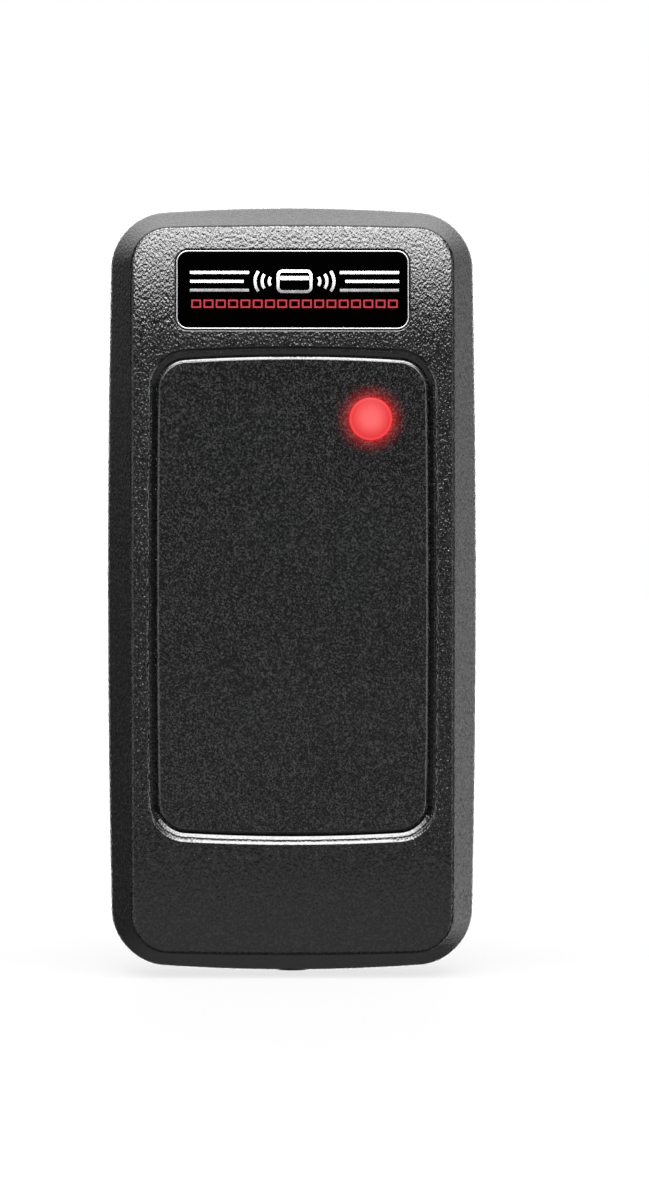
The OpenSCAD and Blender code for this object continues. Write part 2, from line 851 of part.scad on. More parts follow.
module board_screws() {
    head_r = 1.9;
    head_t = 1.1;
    color([0.6, 0.6, 0.62]) on_wall()
        at_each(board_screw_at) {
            difference() {
                translate([0, 0, board_top])
                    rotate_extrude()
                        polygon([[0, 0], [head_r, 0], [head_r, 0.5], [head_r - 0.3, 0.9],
                                 [head_r - 0.8, head_t], [0, head_t]]);
                for (turn = [0, 90])
                    rotate(turn) box_on([2, 0.4, 1], board_top + 0.5);
            }
            translate([0, 0, 0.9]) cylinder(r = pilot_r, h = board_top - 0.9);
        }
}

// Reflective sensor behind the board, which looks at the wall through the tray's window.
module tamper_sensor() {
    color([0.07, 0.07, 0.08]) on_wall()
        at_each([sensor_at]) difference() {
            box_on(sensor_size, board_z - sensor_size.z);
            for (s = [-1, 1])
                translate([s * 0.85, 0, board_z - sensor_size.z - eps])
                    cylinder(r = 0.55, h = 0.25, $fn = 24);
        }
}

base_tray();
potting_resin();
circuit_board();
antenna_coil();
coil_leads();
microcontroller();
microcontroller_leads();
reader_chip();
reader_chip_leads();
voltage_regulator();
regulator_leads();
clock_crystal();
crystal_pins();
filter_capacitor();
filter_capacitor_base();
ceramic_capacitors();
chip_resistors();
chip_terminals();
protection_diodes();
diode_terminals();
buzzer_case();
buzzer_disc();
buzzer_pins();
header_housing();
header_pins();
status_led();
led_emitter();
led_terminals();
solder_joints();
board_screws();
tamper_sensor();
tamper_window();
cover_screw();
front_cover();
front_panel();
badge_plate();
indicator_lens();
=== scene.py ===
"""A slim wall-mounted proximity card reader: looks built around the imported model.

Lengths are in millimetres until a mesh is made. A piece is drawn lying on its back, with x to the
right, v up the wall and d out from the wall, and place() turns that into the frame in metres.
"""
import json
import math

import bmesh
import bpy
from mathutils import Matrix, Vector

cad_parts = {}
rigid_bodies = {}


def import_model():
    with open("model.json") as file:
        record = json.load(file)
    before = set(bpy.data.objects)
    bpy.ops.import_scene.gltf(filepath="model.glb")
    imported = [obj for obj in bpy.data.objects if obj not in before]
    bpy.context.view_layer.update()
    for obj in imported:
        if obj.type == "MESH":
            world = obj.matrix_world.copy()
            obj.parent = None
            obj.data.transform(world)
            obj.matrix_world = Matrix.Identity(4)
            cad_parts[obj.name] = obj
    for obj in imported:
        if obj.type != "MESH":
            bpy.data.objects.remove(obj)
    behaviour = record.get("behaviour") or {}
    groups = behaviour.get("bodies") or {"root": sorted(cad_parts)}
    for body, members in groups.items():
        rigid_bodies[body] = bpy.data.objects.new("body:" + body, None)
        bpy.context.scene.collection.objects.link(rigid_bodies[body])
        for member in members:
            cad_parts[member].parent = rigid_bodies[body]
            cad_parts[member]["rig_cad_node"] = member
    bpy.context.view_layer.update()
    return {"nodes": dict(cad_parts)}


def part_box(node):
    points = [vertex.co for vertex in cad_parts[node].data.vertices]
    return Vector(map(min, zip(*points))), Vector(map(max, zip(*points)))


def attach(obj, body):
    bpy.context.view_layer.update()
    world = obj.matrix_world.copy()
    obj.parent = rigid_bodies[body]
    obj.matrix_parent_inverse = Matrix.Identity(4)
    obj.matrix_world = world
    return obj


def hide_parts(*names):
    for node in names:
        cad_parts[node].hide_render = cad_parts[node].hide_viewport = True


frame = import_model()
MM = 0.001

# ---- sizes, as the model has them ----


def node_box(node):
    """Lowest and highest (x, v, d) of a node at rest, in millimetres."""
    low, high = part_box(node)
    return ((low[0] / MM, low[2] / MM, -high[1] / MM), (high[0] / MM, high[2] / MM, -low[1] / MM))


COVER = node_box("front_cover")
BODY_W = COVER[1][0] - COVER[0][0]
BODY_H = COVER[1][1] - COVER[0][1]
BODY_D = COVER[1][2]
COVER_LIFT = COVER[0][2]
CORNER_R = 5.6
SIDE_BOW = 0.52
END_BOW = 0.95
SIDE_WALL = 1.6
SLOPE_START = 4.5
SIDE_INSET = 2.85
END_INSET = 2.8
FRONT_WALL = 2.2
INNER_D = BODY_D - FRONT_WALL
FACE_CORNER_R = 3.8
FACE_SIDE_BOW = 0.05
FACE_END_BOW = 0.3
SIDE_BLEND = 1.6
FACE_BLEND = 0.55
CROWN_START = 26
CROWN_R = 60

PANEL = node_box("front_panel")
PANEL_W = PANEL[1][0] - PANEL[0][0]
PANEL_H = PANEL[1][1] - PANEL[0][1]
PANEL_MID = (PANEL[1][1] + PANEL[0][1]) / 2
PANEL_T = PANEL[1][2] - PANEL[0][2]
PANEL_CORNER_R = 2.8
PANEL_SIDE_BOW = 0.2
PANEL_END_BOW = 0.55
PANEL_EDGE = 0.28
PANEL_GAP = 0.22
MOAT_REACH = 1.2

BADGE_W = 24.4
BADGE_H = 8.1
BADGE_T = 0.6
BADGE_CORNER_R = 1.1
BADGE_GAP = 0.25
BADGE_MID = 32

LENS = node_box("indicator_lens")
LENS_X = (LENS[0][0] + LENS[1][0]) / 2
LENS_V = (LENS[0][1] + LENS[1][1]) / 2
LENS_FLANGE_R = (LENS[1][0] - LENS[0][0]) / 2
LENS_BACK = LENS[0][2]
LENS_TOP = LENS[1][2]
LENS_R = 2.25
LENS_PROUD = LENS_TOP - BODY_D
LENS_FLANGE_T = 1
LENS_HOLE_R = LENS_R + 0.05

HINGE_V = 40.25
HINGE_D = 1.1
HINGE_BAR_R = 0.55
HINGE_EDGE_R = 1
HINGE_X = 9
NOTCH_W = 5
NOTCH_D = 3.1
SCREW_D = 2.7
SCREW_SLOT_R = 1.4
SCREW_POCKET_R = 2.3
SCREW_POCKET = 1.2
SCREW_PAD_R = 2.8
SCREW_PAD = 0.55

CROWN_TOLERANCE = 0.008
PRINT_T = 0.02
INK_W = 0.13
TRACK_W = 0.22
POWER_TRACK_W = 0.55
BUZZER_INK_R = 6.4
LABEL_W = 23.4
LABEL_H = 13.4
LABEL_T = 0.12
LABEL_FACE = 0.13
LABEL_V = 15
PRINT_X = 0.2
PRINT_REACH = 11.1
SILVER_V = 0.9
RED_V = -1.5

BOARD = node_box("circuit_board")
BOARD_TOP = BOARD[1][2]


# ---- outlines and surfaces ----

def place(x, v, d):
    return Vector((x, -d, v)) * MM


def mix(a, b, share):
    return a + (b - a) * share


def curve(a, b, c, t):
    """Point at t on a curve from a to c that b pulls towards itself."""
    return tuple(mix(mix(p, q, t), mix(q, r, t), t) for p, q, r in zip(a, b, c))


def sign(value):
    return (value > 0) - (value < 0)


def rounded(w, h, r, side=0, end=0, arc_steps=16, across=14, up=30):
    """Points of a rounded rectangle, anticlockwise, whose sides and ends bow outwards.

    across and up are how many steps its straight ends and sides are drawn in.
    """
    arcs = []
    for i, (sx, sv) in enumerate([(1, 1), (-1, 1), (-1, -1), (1, -1)]):
        angles = [math.radians(90 * (i + k / arc_steps)) for k in range(arc_steps + 1)]
        middle = (sx * (w / 2 - r), sv * (h / 2 - r))
        arcs.append([(middle[0] + r * math.cos(a), middle[1] + r * math.sin(a)) for a in angles])
    points = []
    for arc, following, steps in zip(arcs, arcs[1:] + arcs[:1], (across, up, across, up)):
        a, b = arc[-1], following[0]
        points += arc
        points += [(mix(a[0], b[0], k / steps), mix(a[1], b[1], k / steps)) for k in range(1, steps)]
    return [
        (x - sign(x) * side * (2 * v / h) ** 2, v - sign(v) * end * (2 * x / w) ** 2)
        for x, v in points
    ]


def crown_drop(v):
    """How far the face has curved back at a height."""
    return max(0, abs(v) - CROWN_START) ** 2 / (2 * CROWN_R)


END_DROP = crown_drop(BODY_H / 2 - END_INSET)
END_INSET_AT_FACE = END_INSET * (1 - END_DROP / (BODY_D - SLOPE_START))


def lean(d):
    return (d - SLOPE_START) / (BODY_D - SLOPE_START)


def cover_ring(share, d, shrink=0, top=BODY_D):
    """One ring of the cover. share is 0 at the rim and 1 at the face, and shrink moves it in."""
    full = max(0, min(1, (d - SLOPE_START) / (top - SLOPE_START)))
    outline = rounded(
        BODY_W - 2 * SIDE_INSET * share - 2 * shrink,
        BODY_H - 2 * END_INSET_AT_FACE * share - 2 * shrink,
        mix(CORNER_R, FACE_CORNER_R, share) - shrink,
        mix(SIDE_BOW, FACE_SIDE_BOW, share),
        mix(END_BOW, FACE_END_BOW, share),
    )
    return [(x, v, d - crown_drop(v) * full) for x, v in outline]


# ---- mesh making ----

def new_object(name, bm):
    mesh = bpy.data.meshes.new(name)
    bmesh.ops.recalc_face_normals(bm, faces=bm.faces)
    bm.to_mesh(mesh)
    bm.free()
    piece = bpy.data.objects.new(name, mesh)
    bpy.context.collection.objects.link(piece)
    return piece


def add_loft(bm, rings, start="fill", end="fill"):
    """Skins a list of closed rings. An end is filled flat, drawn to its middle, or left open."""
    loops = [[bm.verts.new(place(*p)) for p in ring] for ring in rings]
    for low, high in zip(loops, loops[1:]):
        for k in range(len(low)):
            n = (k + 1) % len(low)
            bm.faces.new((low[k], low[n], high[n], high[k]))
    for loop, kind in ((loops[0], start), (loops[-1], end)):
        if kind == "fill":
            bm.faces.new(loop)
        elif kind == "fan":
            middle = bm.verts.new(sum((p.co for p in loop), Vector()) / len(loop))
            for k in range(len(loop)):
                bm.faces.new((loop[k], loop[(k + 1) % len(loop)], middle))
    return loops


def loft(name, rings, start="fill", end="fill"):
    bm = bmesh.new()
    add_loft(bm, rings, start, end)
    return new_object(name, bm)


def lathe_rings(x, v, profile, steps=64):
    """Rings about an axis that points out from the wall, from a list of (radius, d)."""
    turns = [2 * math.pi * k / steps for k in range(steps)]
    return [[(x + r * math.cos(a), v + r * math.sin(a), d) for a in turns] for r, d in profile]


def join(name, objects):
    bm = bmesh.new()
    for o in objects:
        bm.from_mesh(o.data)
        bpy.data.objects.remove(o)
    return new_object(name, bm)


def apply_modifiers(piece):
    graph = bpy.context.evaluated_depsgraph_get()
    mesh = bpy.data.meshes.new_from_object(piece.evaluated_get(graph))
    old = piece.data
    piece.modifiers.clear()
    piece.data = mesh
    mesh.name = piece.name
    bpy.data.meshes.remove(old)


def combine(piece, other, operation):
    """Cuts or joins one solid with another, and removes the other."""
    modifier = piece.modifiers.new(operation, "BOOLEAN")
    modifier.operation = operation
    modifier.object = other
    modifier.solver = "EXACT"
    modifier.use_self = True
    bpy.context.view_layer.update()
    apply_modifiers(piece)
    bpy.data.objects.remove(other)


def smooth(piece, angle=32):
    """Shades a piece smoothly, with sharp edges only above an angle, and keeps its flats flat."""
    bm = bmesh.new()
    bm.from_mesh(piece.data)
    bmesh.ops.dissolve_degenerate(bm, dist=1e-7, edges=bm.edges)
    bm.to_mesh(piece.data)
    bm.free()
    piece.data.shade_smooth()
    piece.data.set_sharp_from_angle(angle=math.radians(angle))
    weighted = piece.modifiers.new("weighted", "WEIGHTED_NORMAL")
    weighted.keep_sharp = True
    weighted.weight = 60


def crown_normals(piece):
    """Gives the face the crown's own normals, so that what is cut in it leaves no shading marks."""
    apply_modifiers(piece)
    mesh = piece.data
    normals = [Vector(n.vector) for n in mesh.corner_normals]
    on_face = set()
    flat = set()
    for polygon in mesh.polygons:
        points = [mesh.vertices[i].co / MM for i in polygon.vertices]
        if all(abs(BODY_D - crown_drop(p.z) + p.y) < CROWN_TOLERANCE for p in points):
            on_face.update(polygon.vertices)
            flat.add(polygon.index)
    for polygon in mesh.polygons:
        for loop in polygon.loop_indices:
            vertex = mesh.loops[loop].vertex_index
            if vertex not in on_face:
                continue
            v = mesh.vertices[vertex].co.z / MM
            tilt = sign(v) * math.asin(max(0, abs(v) - CROWN_START) / CROWN_R)
            normal = Vector((0, -math.cos(tilt), math.sin(tilt)))
            if polygon.index in flat or polygon.normal.dot(normal) > 0.8:
                normals[loop] = normal
    mesh.normals_split_custom_set([tuple(n) for n in normals])


# ---- the cover ----

def cover_shell():
    """The cover's skin, outside and inside, as one closed mesh."""
    rim_round = 0.25
    blend_steps = 6
    rings = [
        cover_ring(0, COVER_LIFT, SIDE_WALL / 2),
        cover_ring(0, COVER_LIFT, rim_round),
        cover_ring(0, COVER_LIFT + rim_round * 0.3, rim_round * 0.3),
        cover_ring(0, COVER_LIFT + rim_round),
    ]
    low = (0, SLOPE_START - SIDE_BLEND), (0, SLOPE_START)
    leaning = (lean(SLOPE_START + SIDE_BLEND), SLOPE_START + SIDE_BLEND)
    near_face = (lean(BODY_D - FACE_BLEND), BODY_D - FACE_BLEND)
    face = (1 + FACE_BLEND / SIDE_INSET, BODY_D)
    for t in range(blend_steps + 1):
        rings.append(cover_ring(*curve(*low, leaning, t / blend_steps)))
    for t in range(1, 4):
        rings.append(cover_ring(*(mix(a, b, t / 4) for a, b in zip(leaning, near_face))))
    for t in range(blend_steps + 1):
        rings.append(cover_ring(*curve(near_face, (1, BODY_D), face, t / blend_steps)))
    edge = rings[-1]
    face_steps = 24
    for k in range(1, face_steps):
        t = 1 - k / face_steps
        rings.append([(x * t, v * t, BODY_D - crown_drop(v * t)) for x, v, _ in edge])
    outside = rings
    inside = [
        cover_ring(0, COVER_LIFT, SIDE_WALL / 2),
        cover_ring(0, COVER_LIFT, SIDE_WALL - 0.15),
        cover_ring(0, COVER_LIFT + 0.15, SIDE_WALL),
        cover_ring(0, SLOPE_START, SIDE_WALL),
    ]
    inner_round = 0.7
    near = (lean(INNER_D - inner_round), INNER_D - inner_round)
    end = (lean(INNER_D) + inner_round / SIDE_INSET, INNER_D)
    for t in range(blend_steps + 1):
        share, d = curve(near, (lean(INNER_D), INNER_D), end, t / blend_steps)
        inside.append(cover_ring(share, d, SIDE_WALL, INNER_D))
    edge = inside[-1]
    inner_steps = 10
    for k in range(1, inner_steps):
        t = 1 - k / inner_steps
        inside.append([(x * t, v * t, INNER_D - crown_drop(v * t)) for x, v, _ in edge])
    bm = bmesh.new()
    add_loft(bm, outside, start="open", end="fan")
    add_loft(bm, inside, start="open", end="fan")
    bmesh.ops.remove_doubles(bm, verts=bm.verts, dist=1e-7)
    return new_object("cover_shell", bm)


def panel_ring(grow, d):
    points = rounded(PANEL_W + 2 * grow, PANEL_H + 2 * grow, PANEL_CORNER_R + grow,
                     PANEL_SIDE_BOW, PANEL_END_BOW, 14, 12, 20)
    return [(x, v + PANEL_MID, d) for x, v in points]


def moat_cutter():
    """The panel's pocket, from its floor up: a gap, a slope, a ledge, a steeper slope and a lip.

    The profile is a list of (how far out from the panel's edge, how far in front of the face).
    """
    profile = [
        (PANEL_GAP, -PANEL_T), (PANEL_GAP, -0.41), (0.25, -0.36), (0.58, -0.236), (0.61, -0.228),
        (0.64, -0.226), (0.83, -0.226), (0.86, -0.21), (1.08, -0.04), (1.11, -0.018), (1.15, -0.004),
        (MOAT_REACH, 0.02), (MOAT_REACH, 1),
    ]
    return loft("moat", [panel_ring(grow, BODY_D + depth) for grow, depth in profile])


def badge_ring(grow, height):
    """A ring of the badge's pocket. height is over the crowned face, or None for the floor."""
    ring = []
    for x, v in badge_outline(grow):
        if height is None:
            ring.append((x, BADGE_MID + v * math.cos(BADGE_TILT) - BADGE_T * math.sin(BADGE_TILT),
                         BADGE_FRONT - BADGE_T - v * math.sin(BADGE_TILT)))
        else:
            up = BADGE_MID + v
            ring.append((x, up, BODY_D - crown_drop(up) + height))
    return ring


BADGE_TILT = math.asin((BADGE_MID - CROWN_START) / CROWN_R)
BADGE_FRONT = BODY_D - crown_drop(BADGE_MID) - (BADGE_H / 2) ** 2 / (2 * CROWN_R) - 0.05


def badge_cutter():
    lip = [(0, -0.16), (0.03, -0.07), (0.09, -0.02), (0.18, 0.01), (0.18, 1)]
    rings = [badge_ring(BADGE_GAP, None)]
    rings += [badge_ring(BADGE_GAP + grow, height) for grow, height in lip]
    return loft("badge_pocket", rings)


def lens_cutter():
    recess_r = LENS_FLANGE_R + 0.1
    profile = [(recess_r, INNER_D - 3), (recess_r, INNER_D), (LENS_HOLE_R, INNER_D), (LENS_HOLE_R, BODY_D)]
    return loft("lens_hole", lathe_rings(LENS_X, LENS_V, profile))


def u_ring(r, v, rear, steps=24):
    """A ring across the cover screw's axis: round in front, and straight down to the rear."""
    arc = [math.pi * k / steps for k in range(steps + 1)]
    points = [(r * math.cos(a), v, SCREW_D + r * math.sin(a)) for a in arc]
    return points + [(-r, v, rear), (r, v, rear)]


def screw_slot_cutters():
    bottom = -BODY_H / 2
    lip = [(SCREW_POCKET_R + 0.3, bottom - 1), (SCREW_POCKET_R + 0.14, bottom - 0.02),
           (SCREW_POCKET_R + 0.04, bottom + 0.06), (SCREW_POCKET_R, bottom + 0.18),
           (SCREW_POCKET_R, bottom + SCREW_POCKET)]
    pocket = loft("screw_pocket", [u_ring(r, v, -1) for r, v in lip])
    slot = loft("screw_slot", [u_ring(SCREW_SLOT_R, v, -1)
                               for v in (bottom + SCREW_POCKET - 0.2, bottom + SIDE_WALL + 2)])
    return [pocket, slot]


def screw_pad():
    inner = -BODY_H / 2 + SIDE_WALL
    rings = [u_ring(SCREW_PAD_R, inner - 0.3, COVER_LIFT), u_ring(SCREW_PAD_R, inner + 0.4, COVER_LIFT),
             u_ring(SCREW_PAD_R - 0.15, inner + SCREW_PAD, COVER_LIFT)]
    return loft("screw_pad", rings)


def lens_collar():
    r = LENS_FLANGE_R + 0.7
    back = INNER_D - LENS_FLANGE_T
    profile = [(r - 0.12, back), (r, back + 0.12), (r, back + LENS_FLANGE_T + 0.3)]
    return loft("collar", lathe_rings(LENS_X, LENS_V, profile))


def hinge_notch(x):
    corner = 0.4
    half = NOTCH_W / 2
    arc = [math.pi / 2 * k / 6 for k in range(7)]
    right = [(half - corner + corner * math.cos(a), NOTCH_D - corner + corner * math.sin(a)) for a in arc]
    outline = right + [(-p, q) for p, q in reversed(right)] + [(-half, -1), (half, -1)]
    return loft("notch", [[(x + p, v, q) for p, q in outline] for v in (HINGE_V - 2, HINGE_V + 2)])


def hinge_relief():
    """What is cut from the top rear edge to leave it round about the hinge axis."""
    arc = [math.radians(-90 + 90 * k / 10) for k in range(11)]
    outline = [(HINGE_V + HINGE_EDGE_R * math.cos(a), HINGE_D + HINGE_EDGE_R * math.sin(a)) for a in arc]
    outline += [(HINGE_V + 3, HINGE_D), (HINGE_V + 3, -1), (HINGE_V, -1)]
    return loft("relief", [[(x, v, d) for v, d in outline] for x in (-BODY_W, BODY_W)])


def hinge_bar(x, steps=32):
    turns = [2 * math.pi * k / steps for k in range(steps)]
    half = NOTCH_W / 2 + 0.4
    return loft("bar", [[(x + s, HINGE_V + HINGE_BAR_R * math.cos(a), HINGE_D + HINGE_BAR_R * math.sin(a))
                         for a in turns] for s in (-half, half)])


def make_cover():
    cover = cover_shell()
    combine(cover, join("inner_pads", [lens_collar(), screw_pad()]), "UNION")
    cutters = [moat_cutter(), badge_cutter(), lens_cutter(), hinge_relief()]
    cutters += [hinge_notch(s * HINGE_X) for s in (-1, 1)] + screw_slot_cutters()
    combine(cover, join("cutters", cutters), "DIFFERENCE")
    combine(cover, join("bars", [hinge_bar(s * HINGE_X) for s in (-1, 1)]), "UNION")
    cover.name = "cover_shell"
    smooth(cover)
    crown_normals(cover)
    return cover


# ---- what sits in the cover ----

def make_panel():
    edge = PANEL_EDGE
    drop = edge * 0.7
    profile = [
        (-0.15, -PANEL_T), (0, -PANEL_T + 0.15), (0, -drop - 0.05), (-0.012, -drop + 0.01),
        (-0.035, -drop + 0.04), (-edge + 0.05, -0.025), (-edge, -0.006), (-edge - 0.06, 0),
    ]
    rings = [panel_ring(grow, BODY_D + depth) for grow, depth in profile]
    panel = loft("card_panel", rings)
    lip_r = LENS_HOLE_R + 0.02
    profile = [(LENS_HOLE_R, BODY_D - PANEL_T - 1), (LENS_HOLE_R, BODY_D - 0.03), (lip_r, BODY_D + 0.01),
               (lip_r, BODY_D + 1)]
    combine(panel, loft("panel_hole", lathe_rings(LENS_X, LENS_V, profile)), "DIFFERENCE")
    smooth(panel)
    return panel


def on_badge(x, v, height=0.0):
    """A point on the badge's tilted front, x and v from its middle."""
    return (x, BADGE_MID + v * math.cos(BADGE_TILT) + height * math.sin(BADGE_TILT),
            BADGE_FRONT - v * math.sin(BADGE_TILT) + height * math.cos(BADGE_TILT))


def make_badge():
    edge = 0.14
    steps = 5
    rings = [(-0.05, -BADGE_T), (0, -BADGE_T + 0.05)]
    for k in range(steps + 1):
        a = math.pi / 2 * k / steps
        rings.append((edge * (math.cos(a) - 1), edge * (math.sin(a) - 1)))
    lofted = [[on_badge(x, v, height) for x, v in badge_outline(grow)] for grow, height in rings]
    badge = loft("badge_label", lofted)
    smooth(badge)
    return badge


def badge_outline(grow):
    return rounded(BADGE_W + 2 * grow, BADGE_H + 2 * grow, BADGE_CORNER_R + grow, 0, 0, 10, 14, 5)


def make_trim():
    """The thin bright ring round the badge."""
    profile = [(0.01, -0.35), (0.01, -0.01), (0.04, 0.02), (0.1, 0.03), (0.16, 0.01), (0.2, -0.04),
               (0.2, -0.35), (0.01, -0.35)]
    bm = bmesh.new()
    add_loft(bm, [[on_badge(x, v, height) for x, v in badge_outline(grow)] for grow, height in profile],
             "open", "open")
    bmesh.ops.remove_doubles(bm, verts=bm.verts, dist=1e-8)
    trim = new_object("badge_trim", bm)
    smooth(trim, 50)
    return trim


def add_stroke(bm, points, width, closed=False, surface=on_badge):
    """Prints a line along some points on a surface, with square corners and ends."""
    edges = []
    for i, p in enumerate(points):
        before = points[i - 1] if i or closed else None
        after = points[(i + 1) % len(points)] if i + 1 < len(points) or closed else None
        a = (Vector(p) - Vector(before or p)).normalized()
        b = (Vector(after or p) - Vector(p)).normalized()
        along = (a + b).normalized()
        across = Vector((-along.y, along.x))
        reach = width / 2 / max(0.4, abs(along.dot(b if after else a)))
        edges.append([Vector(p) + across * reach, Vector(p) - across * reach])
    rows = [[bm.verts.new(place(*surface(*e, h))) for e, h in
             ((left, 0), (left, PRINT_T), (right, PRINT_T), (right, 0))] for left, right in edges]
    pairs = zip(rows, rows[1:] + rows[:1]) if closed else zip(rows, rows[1:])
    for low, high in pairs:
        for k in range(4):
            n = (k + 1) % 4
            bm.faces.new((low[k], low[n], high[n], high[k]))
    if not closed:
        bm.faces.new(rows[0])
        bm.faces.new(rows[-1])


def make_silver_print():
    """A plain picture of a card between radio waves, with bars out to both sides."""
    bm = bmesh.new()
    card = [(x + PRINT_X, v + SILVER_V) for x, v in rounded(3.5, 2.2, 0.45, 0, 0, 5, 1, 1)]
    add_stroke(bm, card, 0.3, True)
    add_stroke(bm, [(PRINT_X - 1.5, SILVER_V + 0.35), (PRINT_X + 1.5, SILVER_V + 0.35)], 0.42)
    for side in (-1, 1):
        for r in (1.1, 1.85, 2.6):
            arc = [math.radians(a) for a in range(-30, 31, 6)]
            add_stroke(bm, [(PRINT_X + side * (1.6 + r * math.cos(a)), SILVER_V + r * math.sin(a) * 0.82)
                            for a in arc], 0.3)
        for v in (-0.95, 0, 0.95):
            ends = [PRINT_X + side * u for u in (5.4 - abs(v) * 0.6, PRINT_REACH)]
            add_stroke(bm, [(end, SILVER_V + v) for end in ends], 0.3)
    return new_object("badge_print_silver", bm)


def make_red_print():
    """A row of small blank card outlines."""
    bm = bmesh.new()
    count = 17
    step = 2 * PRINT_REACH / count
    for k in range(count):
        x = PRINT_X - PRINT_REACH + step * (k + 0.5)
        box = [(x + p, RED_V + q) for p, q in ((0.44, 0.36), (-0.44, 0.36), (-0.44, -0.36), (0.44, -0.36))]
        add_stroke(bm, box, 0.16, True)
    return new_object("badge_print_red", bm)


def make_lens():
    dome_r = (LENS_R ** 2 + LENS_PROUD ** 2) / (2 * LENS_PROUD)
    dome_a = math.asin(LENS_R / dome_r)
    flange = INNER_D - LENS_FLANGE_T
    profile = [(LENS_R - 0.15, LENS_BACK), (LENS_R, LENS_BACK + 0.15), (LENS_R, flange),
               (LENS_FLANGE_R - 0.1, flange), (LENS_FLANGE_R, flange + 0.1),
               (LENS_FLANGE_R, flange + LENS_FLANGE_T), (LENS_R, flange + LENS_FLANGE_T),
               (LENS_R, BODY_D - 0.08), (LENS_R - 0.03, BODY_D)]
    for k in range(1, 12):
        a = dome_a * (1 - k / 12)
        profile.append((dome_r * math.sin(a), LENS_TOP - dome_r * (1 - math.cos(a))))
    lens = loft("lens_cap", lathe_rings(LENS_X, LENS_V, profile), "fill", "fan")
    smooth(lens)
    return lens


# ---- what is printed on the board, and the label on the back ----

def on_board(x, v, height=0.0):
    return (x, v, BOARD_TOP + height)


def on_label(x, v, height=0.0):
    """A point on the face of the back's label, x and v from its middle, seen from behind."""
    return (-x, LABEL_V + v, LABEL_FACE - height)


def route(a, b):
    """A track from a to b that leaves a at 45 degrees and runs straight into b."""
    dx, dv = b[0] - a[0], b[1] - a[1]
    slant = min(abs(dx), abs(dv))
    elbow = (a[0] + sign(dx) * slant, a[1] + sign(dv) * slant)
    path = [a, elbow, b]
    return [p for k, p in enumerate(path) if k == 0 or math.dist(p, path[k - 1]) > 0.05]


def pin_rows(node, count, pitch=1.27):
    """Pads down both sides of a chip, from the top, as two lists of points."""
    low, high = node_box(node)
    middle = (low[1] + high[1]) / 2
    heights = [middle + ((count - 1) / 2 - k) * pitch for k in range(count)]
    return [[(x, v) for v in heights] for x in (low[0] + 0.35, high[0] - 0.35)]


def middle_of(node):
    low, high = node_box(node)
    return ((low[0] + high[0]) / 2, (low[1] + high[1]) / 2)


def make_tracks():
    """Copper tracks from the pads of the chips and the header to the parts near them."""
    micro_left, micro_right = pin_rows("microcontroller_leads", 10)
    chip_left, chip_right = pin_rows("reader_chip_leads", 8)
    header = middle_of("header_housing")
    header_pads = [(header[0] + (k - 3.5) * 1.5, header[1] + 1.9) for k in range(8)]
    can = middle_of("filter_capacitor")
    regulator = middle_of("voltage_regulator")
    led = middle_of("status_led")
    crystal = middle_of("clock_crystal")
    signals = [
        (micro_left[1], (-2.6, 6)), (micro_left[3], (-2.6, 3.2)), (micro_left[5], (-2.6, 0.4)),
        (micro_left[7], (-2.6, -2.4)), (chip_right[0], (-2.6, 4.4)), (chip_right[1], (-2.6, 1.6)),
        (chip_right[3], (-2.6, -1.2)), (chip_right[5], (-2.6, -4)), (chip_right[7], (-3.7, -6.4)),
        (chip_left[4], (-11.8, -2.2)), (chip_left[5], (-11.8, -3.8)), (chip_left[0], (-9.4, 5.4)),
        (chip_left[7], (-10.2, -7.1)), (micro_right[0], (crystal[0] + 2.4, 9.6)),
        (micro_left[0], (1.6, 9.4)), (micro_right[2], (11.4, 4.6)), (micro_right[4], (11.4, 2.1)),
        (micro_right[5], (11.4, -0.2)), (micro_right[6], (11.4, -1.9)), (micro_right[8], (11.6, -5)),
        (header_pads[0], (-4.9, -8.8)), (header_pads[1], (-2.4, -7.2)), (header_pads[2], micro_left[9]),
        (header_pads[7], micro_right[9]), ((led[0] - 1.5, led[1] + 0.6), (4.1, 19.1)),
        ((led[0] - 1.5, led[1] - 0.6), (4.1, 16.9)), ((2.3, 16.9), (1.2, 9.2)),
        ((2.3, 19.1), (0.6, 22)), ((crystal[0] - 2.4, 14.5), (6, 16.2)), ((-6.6, 21), (-8.4, 21.9)),
        ((-3.8, 21), (-1, 22)), ((12, 18), (10.4, 15.4)), ((5, -17.6), (6.1, -20.8)),
    ] + [(pad, (pad[0], -5.3)) for pad in header_pads[3:7]]
    power = [
        ((regulator[0], regulator[1] - 3), (can[0], can[1] + 2.5)),
        ((regulator[0] - 2.3, regulator[1] - 3), (can[0] - 2.2, can[1] + 3.2)),
        ((regulator[0] + 2.3, regulator[1] - 3), (can[0] + 5.2, can[1])),
        ((regulator[0], regulator[1] + 2.6), (-4.2, -6.4)), ((11.6, -9.8), (11.6, -11.2)),
        ((11.6, -15.8), (8.2, -18.6)), ((4.3, -20.8), (-3.4, -21.9)),
    ]
    bm = bmesh.new()
    for width, pairs in ((TRACK_W, signals), (POWER_TRACK_W, power)):
        for a, b in pairs:
            add_stroke(bm, route(a, b), width, False, on_board)
    return new_object("board_tracks", bm)


